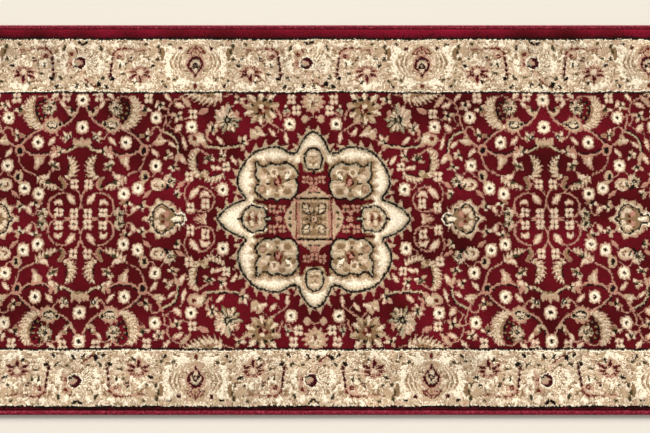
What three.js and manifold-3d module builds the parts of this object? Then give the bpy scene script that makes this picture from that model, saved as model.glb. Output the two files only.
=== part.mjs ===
// A machine-woven runner rug, lying flat with its pile up.
//
// The frame: +X runs along the runner, +Y across it towards the edge with the wide plain band, and +Z up
// out of the pile. The origin is the middle of the rug's footprint, on the floor. Millimetres.
//
// The ground weave is one flat cloth of jute picks and warp. Its margin is thinner and stands off the
// floor, and goes into the slot of the overcast edge. The pile stands on the ground in five bands across
// the width. An overcast edge, a wound yarn tube with a filler cord in it, closes each of the four sides:
// the two end ones run over the whole width, and the two side ones lie between them.
import * as THREE from "three";
import { mergeVertices } from "three/addons/utils/BufferGeometryUtils.js";
import Module from "manifold-3d";

const wasm = await Module();
wasm.setup();

// Overall sizes of the finished runner.
const RUNNER_LENGTH = 2500;
const RUNNER_WIDTH = 800;

// The ground weave.
const GROUND_THICKNESS = 2.25;
const MARGIN_LIFT = 1.25; // how far the margin's underside stands off the floor, over the overcast yarn

// The pile, and its bands across the width.
const PILE_HEIGHT = 6.75;
const NEAR_BAND_WIDTH = 7.2; // the plain bands lie next to the side edges
const FAR_BAND_WIDTH = 21.2;
const BORDER_WIDTH = 112; // the field takes up the rest, between the two borders

// The overcast edges.
const EDGE_WIDTH = 9.5;
const EDGE_HEIGHT = 7.5;
const CORD_DIAMETER = 3.4;
const YARN_WALL = 1.2; // the overcast yarn outside the filler cord

// Clearances.
const SEAT_GAP = 0.3; // between pieces that are sewn together
const CURVE_STEPS = 8;

// Levels and half sizes that follow from those.
const GROUND_TOP = GROUND_THICKNESS;
const HALF_LENGTH = RUNNER_LENGTH / 2;
const HALF_WIDTH = RUNNER_WIDTH / 2;
const EDGE_START_X = HALF_LENGTH - EDGE_WIDTH; // where the overcast edges begin
const EDGE_START_Y = HALF_WIDTH - EDGE_WIDTH;
const CAVITY_RADIUS = CORD_DIAMETER / 2 + SEAT_GAP;
const CORD_OUT = EDGE_WIDTH - YARN_WALL - CAVITY_RADIUS; // the cord's axis, from the edge's inner side
const CORD_UP = MARGIN_LIFT + CAVITY_RADIUS;

const finishes = {
  jute: new THREE.MeshStandardMaterial({ color: 0xa88a5e, roughness: 0.95, metalness: 0 }),
  claret: new THREE.MeshStandardMaterial({ color: 0x6e0d1b, roughness: 0.9, metalness: 0 }),
  cream: new THREE.MeshStandardMaterial({ color: 0xdcc49c, roughness: 0.9, metalness: 0 }),
  overcast: new THREE.MeshStandardMaterial({ color: 0x7a1424, roughness: 0.75, metalness: 0 }),
  filler: new THREE.MeshStandardMaterial({ color: 0xc9bb9a, roughness: 0.9, metalness: 0 }),
};

const runner = new THREE.Group();

function addPiece(name, geometry, finish, parent = runner) {
  const mesh = new THREE.Mesh(geometry, finish);
  mesh.name = name;
  parent.add(mesh);
  return mesh;
}

// A block between two x, two y and two z values.
function block(x0, x1, y0, y1, z0, z1) {
  const geometry = new THREE.BoxGeometry(x1 - x0, y1 - y0, z1 - z0);
  return geometry.translate((x0 + x1) / 2, (y0 + y1) / 2, (z0 + z1) / 2);
}

function solid(geometry) {
  const bare = geometry.clone().deleteAttribute("normal").deleteAttribute("uv");
  const merged = mergeVertices(bare);
  const vertProperties = merged.attributes.position.array;
  const triVerts = new Uint32Array(merged.index.array);
  return new wasm.Manifold(new wasm.Mesh({ numProp: 3, vertProperties, triVerts }));
}

function geometryOf(manifold) {
  const mesh = manifold.getMesh();
  const geometry = new THREE.BufferGeometry();
  geometry.setAttribute("position", new THREE.BufferAttribute(mesh.vertProperties, 3));
  geometry.setIndex(new THREE.BufferAttribute(mesh.triVerts, 1));
  geometry.computeVertexNormals();
  return geometry;
}

// The ground: a plate on the floor between the overcast edges, and the thinner margin that goes into them.
function groundWeave() {
  const plateX = EDGE_START_X - SEAT_GAP;
  const plateY = EDGE_START_Y - SEAT_GAP;
  const reach = CORD_OUT - CAVITY_RADIUS; // the margin ends just inside the filler cord
  const marginX = EDGE_START_X + reach;
  const marginY = EDGE_START_Y + reach;
  const plate = block(-plateX, plateX, -plateY, plateY, 0, GROUND_TOP);
  const margin = block(-marginX, marginX, -marginY, marginY, MARGIN_LIFT, GROUND_TOP);
  return geometryOf(solid(plate).add(solid(margin)));
}

addPiece("ground_weave", groundWeave(), finishes.jute);

// The pile bands, from the near edge to the far one. Each starts where the one before it ends.
function addPileBands() {
  const nearEnd = -EDGE_START_Y + SEAT_GAP;
  const farEnd = EDGE_START_Y - SEAT_GAP;
  const fieldWidth = farEnd - nearEnd - NEAR_BAND_WIDTH - FAR_BAND_WIDTH - 2 * BORDER_WIDTH;
  const bands = [
    { name: "near_band_pile", width: NEAR_BAND_WIDTH, finish: finishes.claret },
    { name: "near_border_pile", width: BORDER_WIDTH, finish: finishes.cream },
    { name: "field_pile", width: fieldWidth, finish: finishes.claret },
    { name: "far_border_pile", width: BORDER_WIDTH, finish: finishes.cream },
    { name: "far_band_pile", width: FAR_BAND_WIDTH, finish: finishes.claret },
  ];
  const halfRun = EDGE_START_X - SEAT_GAP;
  let y = nearEnd;
  for (const band of bands) {
    const shape = block(-halfRun, halfRun, y, y + band.width, GROUND_TOP, GROUND_TOP + PILE_HEIGHT);
    addPiece(band.name, shape, band.finish);
    y += band.width;
  }
}

addPileBands();

// The overcast edge's section: x runs outwards from its inner side, y is up. Its outside is round, its
// foot and its inner side are flat, and a slot for the ground's margin leads in to the cord's cavity.
function overcastSection() {
  const section = new THREE.Shape();
  const middle = EDGE_WIDTH / 2;
  const rise = EDGE_HEIGHT / 2;
  const slotDrop = CORD_UP - GROUND_TOP; // the slot's roof meets the cavity this far under its centre
  const slotAngle = Math.PI + Math.asin(slotDrop / CAVITY_RADIUS);
  section.moveTo(0, 0);
  section.lineTo(middle, 0);
  section.absellipse(middle, rise, middle, rise, -Math.PI / 2, Math.PI / 2, false);
  section.absellipse(middle, rise, middle, rise, Math.PI / 2, Math.PI, false);
  section.lineTo(0, GROUND_TOP);
  section.absarc(CORD_OUT, CORD_UP, CAVITY_RADIUS, slotAngle, -Math.PI / 2, true);
  section.lineTo(0, MARGIN_LIFT);
  section.closePath();
  return section;
}

function cordSection() {
  const section = new THREE.Shape();
  section.absarc(CORD_OUT, CORD_UP, CORD_DIAMETER / 2, 0, 2 * Math.PI, false);
  return section;
}

// One overcast edge and its filler cord, run along +X about its own middle, with its outer side to +Y,
// then turned and set at the rug's rim.
function addEdge(side, run, turn, x, y) {
  const edge = new THREE.Group();
  const options = { depth: run, bevelEnabled: false, curveSegments: CURVE_STEPS };
  for (const [kind, section, finish] of [
    ["overcast", overcastSection(), finishes.overcast],
    ["filler_cord", cordSection(), finishes.filler],
  ]) {
    const geometry = new THREE.ExtrudeGeometry(section, options);
    geometry.translate(0, 0, -run / 2);
    geometry.rotateX(Math.PI / 2);
    geometry.rotateZ(Math.PI / 2);
    addPiece(side + "_" + kind, geometry, finish, edge);
  }
  edge.rotation.z = turn;
  edge.position.set(x, y, 0);
  runner.add(edge);
}

const sideRun = 2 * (EDGE_START_X - SEAT_GAP);
addEdge("far_side", sideRun, 0, 0, EDGE_START_Y);
addEdge("near_side", sideRun, Math.PI, 0, -EDGE_START_Y);
addEdge("left_end", RUNNER_WIDTH, Math.PI / 2, -EDGE_START_X, 0);
addEdge("right_end", RUNNER_WIDTH, -Math.PI / 2, EDGE_START_X, 0);

export default runner;
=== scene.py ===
import bmesh
import bpy
import numpy as np
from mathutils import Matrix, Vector


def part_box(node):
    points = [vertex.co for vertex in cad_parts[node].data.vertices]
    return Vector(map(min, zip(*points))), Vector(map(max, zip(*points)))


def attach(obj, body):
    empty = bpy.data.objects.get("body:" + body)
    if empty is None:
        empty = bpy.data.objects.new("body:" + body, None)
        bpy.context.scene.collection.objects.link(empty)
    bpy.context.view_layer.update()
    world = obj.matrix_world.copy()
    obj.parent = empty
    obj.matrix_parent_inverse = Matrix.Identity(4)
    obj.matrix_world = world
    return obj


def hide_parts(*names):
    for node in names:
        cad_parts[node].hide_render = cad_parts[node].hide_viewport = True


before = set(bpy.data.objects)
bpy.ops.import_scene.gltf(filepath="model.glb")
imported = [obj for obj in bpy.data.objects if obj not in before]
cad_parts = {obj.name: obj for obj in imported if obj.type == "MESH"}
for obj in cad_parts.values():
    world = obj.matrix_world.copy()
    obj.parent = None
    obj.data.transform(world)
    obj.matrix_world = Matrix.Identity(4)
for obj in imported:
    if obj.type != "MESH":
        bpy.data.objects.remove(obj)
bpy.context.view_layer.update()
MM = 0.001


# ---- The ground cloth
# A flat cloth of thick jute picks with a cotton warp over and under them. It holds the pile from below, and
# its thin margin goes into the slot of each overcast edge.
PICK = 1.55 * MM  # from the middle of one pick to the middle of the next
WARP_END = 3.2 * MM  # from one bundle of warp ends to the next
RIB = 0.28 * MM  # how far a pick's crown stands out of the back
MARGIN_LIFT = 1.25 * MM  # how high the margin's underside lies
SLOPE = 0.1 * MM  # how far out the step up to the margin reaches
PLATE_INSET = 0.3 * MM  # the full thickness stops this far inside the overcast edges


def corners(node):
    """A node's lowest and highest corners, as arrays."""
    low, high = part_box(node)
    return np.array(low), np.array(high)


_, ground_high = corners("ground_weave")
edge_low, edge_high = corners("far_side_overcast")
end_low, _ = corners("right_end_overcast")
pile_low, pile_high = corners("field_pile")
GROUND_TOP = pile_low[2] - 0.02 * MM  # just clear of the pile's feet
PLATE = np.array([end_low[0], edge_low[1]]) - PLATE_INSET  # half sizes of the full thickness


def linear(hex_code):
    """The shader's colour for a hex code: each share is raised to the power 2.4, after the usual offset."""
    share = np.array([int(hex_code[i : i + 2], 16) for i in (0, 2, 4)]) / 255
    return np.where(share > 0.04045, ((share + 0.055) / 1.055) ** 2.4, share / 12.92)


def make_piece(name, points, faces, material):
    """A flat-shaded mesh object at the origin from an array of points and lists or arrays of faces."""
    mesh = bpy.data.meshes.new(name)
    mesh.from_pydata(points, [], faces)
    mesh.validate()
    mesh.materials.append(material)
    mesh.update()
    piece = bpy.data.objects.new(name, mesh)
    bpy.context.scene.collection.objects.link(piece)
    return piece


def grid_faces(rows, columns, start=0):
    """The four-cornered faces of a grid of points that is stored row by row."""
    first = (start + np.arange(rows - 1)[:, None] * columns + np.arange(columns - 1)).ravel()
    return np.stack((first, first + 1, first + columns + 1, first + columns), axis=1)


def new_material(name, roughness, sheen=0.0, sheen_roughness=0.5):
    """A material with its shader, whose plain numbers are set on the shader's own sockets."""
    material = bpy.data.materials.new(name)
    material.use_nodes = True
    shader = material.node_tree.nodes["Principled BSDF"]
    shader.inputs["Roughness"].default_value = roughness
    shader.inputs["Sheen Weight"].default_value = sheen
    shader.inputs["Sheen Roughness"].default_value = sheen_roughness
    shader.inputs["Specular IOR Level"].default_value = 0.08
    return material, material.node_tree, shader


def add_node(tree, kind, **values):
    """A node with its settings, and the values of its named sockets."""
    node = tree.nodes.new(kind)
    for key, value in values.items():
        if key in node.inputs:
            node.inputs[key].default_value = value
        else:
            setattr(node, key, value)
    return node


def object_noise(tree, scale, detail, stretch=(1, 1, 1)):
    """Noise that lies still on the piece, closer together along an axis where stretch is larger."""
    place = add_node(tree, "ShaderNodeTexCoord")
    turn = add_node(tree, "ShaderNodeMapping", Scale=stretch)
    noise = add_node(tree, "ShaderNodeTexNoise", Scale=scale, Detail=detail)
    tree.links.new(place.outputs["Object"], turn.inputs["Vector"])
    tree.links.new(turn.outputs["Vector"], noise.inputs["Vector"])
    return noise.outputs["Fac"]


def ramp(tree, factor, *stops):
    """A colour for each place along a factor, from pairs of a place and a hex code."""
    node = add_node(tree, "ShaderNodeValToRGB")
    bar = node.color_ramp
    while len(bar.elements) < len(stops):
        bar.elements.new(0.5)
    for element, (place, hex_code) in zip(bar.elements, stops, strict=True):
        element.position = place
        element.color = (*linear(hex_code), 1)
    tree.links.new(factor, node.inputs["Fac"])
    return node.outputs["Color"]


def spread(tree, value, low, high, start=0.0, end=1.0):
    """A straight line from low to high, as a value goes from start to end."""
    sockets = {"From Min": start, "From Max": end, "To Min": low, "To Max": high}
    node = add_node(tree, "ShaderNodeMapRange", **sockets)
    tree.links.new(value, node.inputs["Value"])
    return node.outputs["Result"]


def product(tree, one, other):
    """One value times another."""
    node = add_node(tree, "ShaderNodeMath", operation="MULTIPLY")
    tree.links.new(one, node.inputs[0])
    tree.links.new(other, node.inputs[1])
    return node.outputs["Value"]


def shade_and_bump(tree, shader, colour, share, height, strength, distance):
    """The surface's colour is a colour times a share, and its bumps follow a height."""
    shade = add_node(tree, "ShaderNodeVectorMath", operation="SCALE")
    tree.links.new(colour, shade.inputs[0])
    tree.links.new(share, shade.inputs["Scale"])
    tree.links.new(shade.outputs["Vector"], shader.inputs["Base Color"])
    bump = add_node(tree, "ShaderNodeBump", Strength=strength, Distance=distance)
    tree.links.new(height, bump.inputs["Height"])
    tree.links.new(bump.outputs["Normal"], shader.inputs["Normal"])


def thread_wave(tree, pitch, distortion, direction):
    """Bands, one for each thread, for painted light and shade and for bumps: they follow the sine of twenty
    times the scale times the place."""
    place = add_node(tree, "ShaderNodeTexCoord")
    sockets = {"Scale": 2 * np.pi / (20 * pitch), "Distortion": distortion, "Detail Scale": 3.0}
    wave = add_node(tree, "ShaderNodeTexWave", bands_direction=direction, **sockets)
    tree.links.new(place.outputs["Object"], wave.inputs["Vector"])
    return wave.outputs["Fac"]


def jute_material():
    """Jute in three browns along its fibres. One wave paints shade between the picks and another between the
    warp ends, lighter on the threads themselves, and their product is its bumps too."""
    material, tree, shader = new_material("jute", 0.95, 0.15)
    fibre = object_noise(tree, 420, 3, (1, 0.12, 1))
    colour = ramp(tree, fibre, (0.3, "7d6240"), (0.5, "a3845a"), (0.72, "bea27a"))
    # Painted light and shade of the weave: lighter on the threads, darker between them; the same product
    # gives the bumps.
    weave = product(tree, thread_wave(tree, PICK, 0.6, "X"), thread_wave(tree, WARP_END, 1.2, "Y"))
    shade_and_bump(tree, shader, colour, spread(tree, weave, 0.42, 1.25), weave, 0.5, 0.0004)
    return material


def ground_cloth():
    """Top and underside on one grid of places. The underside's height follows a zigzag along the runner, one
    crown for each pick, and it steps up to the margin's underside near the rim."""
    lines = []
    for plate, outer, count in zip(PLATE, ground_high, (int(2 * PLATE[0] / PICK), 5)):
        step = plate + SLOPE
        lines.append(np.concatenate(([-outer, -step], np.linspace(-plate, plate, count), [step, outer])))
    x, y = np.meshgrid(*lines)
    rows, columns = x.shape
    crown = RIB * (np.arange(columns) % 2)
    within = (np.abs(x) <= PLATE[0] + 1e-7) & (np.abs(y) <= PLATE[1] + 1e-7)
    low = np.where(within, crown, MARGIN_LIFT)
    top = np.stack((x, y, np.full_like(x, GROUND_TOP)), axis=-1).reshape(-1, 3)
    under = np.stack((x, y, low), axis=-1).reshape(-1, 3)
    index = np.arange(x.size).reshape(x.shape)
    rim = np.concatenate((index[0, :-1], index[:-1, -1], index[-1, :0:-1], index[:0:-1, 0]))
    after = np.roll(rim, -1)
    wall = np.stack((rim, rim + x.size, after + x.size, after), axis=1)
    faces = np.vstack((grid_faces(rows, columns), grid_faces(rows, columns, x.size)[:, ::-1], wall))
    return make_piece("ground_cloth", np.vstack((top, under)), faces, jute_material())


ground = ground_cloth()
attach(ground, "root")
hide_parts("ground_weave")


# ---- The pile
# Cut wool-like tufts, one for each knot, in thirteen yarns. Their pattern is drawn on squared paper first,
# one square for each knot and all in millimetres, and then read out for each knot of the five bands.
KNOT_ALONG = 1.5625
KNOT_ACROSS = 2.0
REPEAT_LENGTH = 950.0  # from one medallion to the next
FIELD_HALF_WIDTH = 264.0
BORDER_WIDTH = 112.0
CLARET, INK, CREAM, SAND, CAMEL, ROSE, RUST, IVORY, OLIVE, STONE, PLUM, BLUSH, CRIMSON = range(13)


class WeaveCard:
    """Squared paper for a pattern: one square for each knot, which holds the number of its yarn."""

    def __init__(self, length, width, ground):
        columns = round(length / KNOT_ALONG)
        rows = round(width / KNOT_ACROSS)
        along = (np.arange(columns) + 0.5) * length / columns
        across = (np.arange(rows) + 0.5) * width / rows
        self.x, self.y = np.meshgrid(along, across)
        self.yarn = np.full(self.x.shape, ground, np.uint8)

    def paint(self, where, yarn):
        """Gives the squares where something is true another yarn."""
        self.yarn[where] = yarn

    def local(self, x, y, angle, long, wide):
        """Places measured from (x, y) along and across a direction, as shares of two half sizes."""
        turn = np.radians(angle)
        dx = self.x - x
        dy = self.y - y
        u = dx * np.cos(turn) + dy * np.sin(turn)
        v = dy * np.cos(turn) - dx * np.sin(turn)
        return u / long, v / wide

    def distance(self, curve):
        """How far each knot is from a curve, how far along it the nearest place is, and on which side."""
        start = curve[:-1]
        step = np.diff(curve, axis=0)
        size = np.hypot(step[:, 0], step[:, 1])
        px = self.x[..., None] - start[:, 0]
        py = self.y[..., None] - start[:, 1]
        share = np.clip((px * step[:, 0] + py * step[:, 1]) / size**2, 0, 1)
        gap = np.hypot(px - share * step[:, 0], py - share * step[:, 1])
        nearest = gap.argmin(-1)[..., None]
        along = np.take_along_axis(np.cumsum(size) - size + share * size, nearest, -1)[..., 0]
        side = np.take_along_axis(step[:, 0] * py - step[:, 1] * px, nearest, -1)[..., 0]
        return np.take_along_axis(gap, nearest, -1)[..., 0], along, np.sign(side)

    def inside(self, curve):
        """Inside where a line to the right crosses the closed curve an odd number of times."""
        x0, y0 = curve[:, 0], curve[:, 1]
        x1, y1 = np.roll(x0, -1), np.roll(y0, -1)
        rise = np.where(y1 == y0, 1e-9, y1 - y0)
        y = self.y[..., None]
        crosses = ((y0 > y) != (y1 > y)) & (self.x[..., None] < (x1 - x0) * (y - y0) / rise + x0)
        return crosses.sum(-1) % 2 == 1


def draw(card, *items):
    """Draws shapes in turn. A shape's name says what the values after it are for, up to the next name."""
    shape = None
    for item in items:
        if callable(item):
            shape = item
        else:
            shape(card, *item)


def smooth(points, closed=False, steps=5):
    """A curve through points: on each stretch, the cubic whose slope at an end is half the way between that
    end's neighbours (a Catmull-Rom curve)."""
    p = np.asarray(points, float)
    if closed:
        p = np.vstack((p[-1], p, p[:2]))
    else:
        p = np.vstack((2 * p[0] - p[1], p, 2 * p[-1] - p[-2]))
    t = (np.arange(steps) / steps)[None, :, None]
    a, b, c, d = (p[i : len(p) - 3 + i, None, :] for i in range(4))
    curve = 0.5 * (2 * b + (c - a) * t + (2 * a - 5 * b + 4 * c - d) * t**2 + (3 * b - a - 3 * c + d) * t**3)
    return np.vstack((curve.reshape(-1, 2), p[-2:-1]))


def depth(card, outline):
    """How far inside a closed outline each knot lies, and nought outside it."""
    curve = smooth(outline, closed=True)
    return np.where(card.inside(curve), card.distance(curve)[0], 0)


def oval(card, x, y, long, wide, yarn, angle=0.0):
    """An oval by its half sizes: inside it, u squared plus v squared is under one."""
    u, v = card.local(x, y, angle, long, wide)
    card.paint(u * u + v * v < 1, yarn)


def petal(card, x, y, angle, length, width, yarn):
    """A pointed oval out from (x, y): half its width times the sine of pi times the share along it."""
    u, v = card.local(x, y, angle, length, width / 2)
    card.paint((u > 0) & (u < 1) & (np.abs(v) < np.sin(np.pi * np.clip(u, 0, 1)) ** 0.75), yarn)


def region(card, outline, yarn, edge=None, edge_width=3.0):
    """A closed outline filled with one yarn, with a line of another along it."""
    curve = smooth(outline, closed=True)
    card.paint(card.inside(curve), yarn)
    if edge is not None:
        card.paint(card.distance(curve)[0] < edge_width / 2, edge)


def line(card, points, width, yarn):
    """A line of one yarn: it is closer to the curve than half its width."""
    card.paint(card.distance(smooth(points))[0] < width / 2, yarn)


def vine(card, points, width, yarn=ROSE, shaded=False):
    """A stem. A shaded one has a dark line along one side of it."""
    gap, _, side = card.distance(smooth(points))
    if shaded:
        card.paint((gap < width / 2 + 2.4) & (side == 1), INK)
    card.paint(gap < 0.39 * width, yarn)


def leaf(card, x0, y0, x1, y1, width, yarn=CREAM):
    """A pointed leaf between two places, with a rose edge round it."""
    length = np.hypot(x1 - x0, y1 - y0)
    angle = np.degrees(np.arctan2(y1 - y0, x1 - x0))
    petal(card, x0, y0, angle, length, width, ROSE)
    share = 0.14
    start = (x0 + share * (x1 - x0), y0 + share * (y1 - y0))
    petal(card, *start, angle, length * (1 - 2 * share), width * 0.6, yarn)


def rosette(card, x, y):
    """Eight petals round a dark seed. The edge is at 1 less 0.12 times the size of the sine of four times the
    angle, plus 0.08 times the cube of the size of the sine of twice the angle."""
    u, v = card.local(x, y, 0, 12.6, 14.0)
    reach = np.hypot(u, v)
    turn = np.arctan2(v, u)
    edge = 1 - 0.12 * np.abs(np.sin(4 * turn)) + 0.08 * np.abs(np.sin(2 * turn)) ** 3
    card.paint(reach < edge + 0.08, ROSE)
    card.paint(reach < edge - 0.1, CREAM)
    card.paint((reach < edge) & (reach > 0.72) & (np.abs(np.sin(4 * turn)) > 0.82), SAND)
    card.paint((reach < 0.66) & (reach > 0.4), IVORY)
    card.paint(np.abs(u) + np.abs(v) < 0.34, OLIVE)
    card.paint(np.abs(u) + np.abs(v) < 0.22, INK)


def blossom(card, x, y, long, wide, yarn=CREAM, edge=ROSE):
    """Four round petals, one in each quarter, round a small eye."""
    for out, share, colour in ((0.5, 0.56, edge), (0.49, 0.41, yarn)):
        for across in (-1, 1):
            for along in (-1, 1):
                middle = (x + across * out * long, y + along * 0.5 * wide)
                oval(card, *middle, share * long, share * wide, colour)
    oval(card, x, y, 2.2, 2.8, OLIVE)


def bud(card, x, y, angle, size, petals, yarn=SAND):
    """A ragged little flower: pointed petals of three lengths round a dark seed, with dark lines between."""
    for k, turn in enumerate(petals):
        petal(card, x, y, angle + turn, size * (1.16, 0.92, 1.04)[k % 3], size * 0.6, ROSE)
    for k, turn in enumerate(petals):
        petal(card, x, y, angle + turn, size * (1.0, 0.76, 0.88)[k % 3], size * 0.38, (yarn, CREAM)[k % 2])
    for turn in petals[1:]:
        petal(card, x, y, angle + turn + 34, size * 0.62, size * 0.2, OLIVE)
    oval(card, x, y, size * 0.3, size * 0.19, INK, angle)


def plume(card, points, width, side, tooth, pitch):
    """A long curling leaf with teeth on one side: its half width follows the square root of the sine of pi
    times the share along it, and each tooth is a straight-sided spike that leans forward along the curl. The
    other side has short dark strokes."""
    curve = smooth(points)
    gap, along, hand = card.distance(curve)
    length = np.hypot(*np.diff(curve, axis=0).T).sum()
    arch = np.sqrt(np.clip(np.sin(np.pi * np.clip(along / length, 0, 1)), 0, 1))
    half = width / 2 * arch
    spike = np.clip(1 - np.abs(((along - 0.5 * gap) / (0.8 * pitch)) % 1.0 - 0.5) / 0.44, 0, 1)
    toothed = hand == side
    reach = half + np.where(toothed, tooth * spike * (0.5 + 0.5 * arch), 0)
    shaded = (along > 0.1 * length) & (along < 0.85 * length)
    card.paint((gap < half + 0.6 + 3.6 * (1 - spike)) & ~toothed & shaded, INK)
    card.paint(gap < reach, ROSE)
    card.paint(gap < reach - 1.8, SAND)
    card.paint((gap < half - 1) & ~toothed, CAMEL)
    card.paint(gap < half * 0.5, SAND)
    card.paint((gap < half + 1) & toothed & (spike > 0.45), CREAM)
    card.paint((gap < half * 0.6) & (np.sin(along / 1.9) > 0.45), CREAM)
    card.paint((gap < half * 0.9) & toothed & (spike < 0.2), CAMEL)


def medallion(card):
    """A lobed cream ring round a claret star, with a panel, two pairs of cartouches and four flower squares.
    One quarter of it is drawn, and the tile is turned over for the rest."""
    rim = [(0, 181), (10, 176), (18, 168), (25, 157), (30, 145), (34, 137), (40, 135), (48, 136), (56, 140),
           (66, 146), (78, 148.5), (92, 147), (106, 143), (119, 138), (131, 128), (141, 115), (149, 102),
           (154, 88), (156, 76), (153, 64), (147, 53), (140, 45), (140, 40), (150, 36), (162, 31), (173, 25),
           (183, 18), (191, 9), (197, 0)]
    curve = smooth(rim)
    gap, along, _ = card.distance(curve)
    shape = np.vstack((curve, [(0, 0)]))
    within = card.inside(shape)
    # Spines round the outside.
    spine = (along / 19.5 + 0.02 * gap) % 1.0
    reach = 4.4 + 13 * np.clip(1 - np.abs(spine - 0.55) / 0.3, 0, 1)
    for edge, yarn in ((reach, ROSE), (reach - 2.6, SAND), (3.4, STONE)):
        card.paint(~within & (gap < edge), yarn)
    # The ring.
    flame = np.abs((along / 8.0) % 1.0 - 0.5) * 2
    card.paint(within, STONE)
    card.paint(within & (gap > 3.8 + 3 * flame), CREAM)
    card.paint(within & (gap > 8 + 5 * flame), IVORY)
    square = [(33, 60), (37, 49), (44, 42.5), (52, 39.5), (58, 41), (66, 42), (71, 38.5), (78, 36), (83, 41),
              (92, 41), (99, 39), (105, 44), (113, 50), (119, 57), (118, 66), (112, 76), (117, 84), (119, 93),
              (117, 105), (119, 115), (115, 117), (109, 110), (100, 108), (93, 111), (88, 115), (79, 112.5),
              (68, 113), (60, 116), (51, 114), (41, 108), (34, 99), (31, 91), (35, 81), (31, 70)]
    far, round_it, _ = card.distance(smooth(square, closed=True))
    lick = np.abs((round_it / 9.0) % 1.0 - 0.5) * 2
    for start, tip, yarn in ((9, 9, CREAM), (6.5, 7, SAND), (3, 4.6, CAMEL)):
        card.paint(within & (far < start + tip * lick), yarn)
    for x, y, radius, yarn in ((124, 0, 31, CREAM), (124, 0, 29, SAND), (0, 124, 28, SAND)):
        card.paint(within & (np.hypot(card.x - x, card.y - y) < radius), yarn)
    card.paint(gap < 2.2, INK)
    # The claret star inside it.
    star = [(-20, 98), (10, 98), (18, 103), (20, 112), (24, 118), (30, 117), (34, 111), (34, 98), (60, 70),
            (98, 42), (116, 43), (124, 39), (123, 33), (114, 29), (103, 27), (97, 20), (97, -20), (-20, -20)]
    region(card, star, CAMEL)
    card.paint(depth(card, star) > 3, CLARET)
    # The side and end cartouches.
    for outline in ([(96, -20), (97, 6), (98, 16), (103, 24), (110, 24), (115, 23), (121, 27), (129, 27),
                     (136, 22), (143, 14), (147, 6), (148, -6), (145, -20)],
                    [(-20, 102), (6, 102), (13, 105), (17, 114), (18, 125), (16, 134), (11, 141), (4, 146),
                     (-20, 146)]):
        region(card, outline, STONE, INK, 3.8)
        card.paint(depth(card, outline) > 5, SAND)
        card.paint(depth(card, outline) > 9, CAMEL)
    draw(card, petal, (146, 0, 0, 14, 4.4, INK), (0, 103, -90, 12, 5, INK), oval, (94, 0, 9, 5.4, INK),
         (94, 0, 6.5, 2.6, STONE), (110, 7, 3.4, 8, CREAM), (126, 8, 3.4, 7, CREAM), (118, 12, 5, 3, BLUSH),
         (118, 2, 3, 4, RUST), (133, 3, 3.4, 3, RUST), (138, 10, 3.4, 5, CREAM), (6, 112, 4, 3, CREAM),
         (7, 124, 5, 4, SAND), (2, 134, 7, 4, CREAM), (0, 120, 3, 3, SAND))
    # Small pink blossoms on the claret.
    for x, y in ((65, 20.5), (85.5, 21), (16, 81), (1, 78)):
        blossom(card, x, y, 8.2, 9.0, ROSE, RUST)
    draw(card, oval, (75, 13, 3, 5, ROSE), (75, 27, 2, 4, RUST), petal, (64, 0, 0, 18, 13, ROSE),
         oval, (82, 0, 4, 4, RUST))
    # Wedges between the panel and the claret.
    draw(card, region, ([(38, -6), (60, -6), (58, 6), (54, 18), (46, 29), (38, 39)], SAND, ROSE, 2),
         line, ([(42, -4), (42, 14), (41, 28)], 2.0, ROSE),
         petal, (50, 8, 112, 11, 6, OLIVE), oval, (50, 0, 3, 3, OLIVE),
         region, ([(-6, 44), (-6, 70), (6, 66), (16, 58), (26, 51), (34, 46)], SAND, ROSE, 2),
         ([(-6, 56), (-6, 69), (4, 65), (9, 58), (6, 55)], ROSE, RUST, 1.6),
         oval, (9, 54, 4.4, 2.6, OLIVE))
    # The panel in the middle.
    panel_x, panel_y = 35.5, 42.5
    for in_x, in_y, yarn in ((-1.6, -1.6, INK), (-1.6, 1.6, RUST), (1.6, 1.6, ROSE), (7, 2, SAND),
                             (11, 8, CAMEL)):
        card.paint((card.x < panel_x - in_x) & (card.y < panel_y - in_y), yarn)
    card.paint((card.x < panel_x - 1.6) & (card.y > 38) & (card.y < panel_y - 1.6), CAMEL)
    draw(card, region, ([(7, 9), (14, 11), (22, 16), (24, 24), (21, 31), (13, 30), (9, 24), (11, 17)], SAND,
           INK, 2.6),
         petal, (12, 14, 60, 14, 6, CREAM), (14, 20, 20, 8, 3, OLIVE), oval, (20, 7, 4, 4, SAND),
         (6, 20, 4, 4, SAND), (0, 0, 8.6, 9, INK), (0, 0, 5.6, 6, SAND), (5, 5, 2, 2, ROSE),
         (0, 0, 2.4, 3, RUST), (0, 14, 2.4, 4, OLIVE), (14, 0, 4, 2.4, OLIVE), (30, 24, 2.4, 8, CAMEL))
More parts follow.
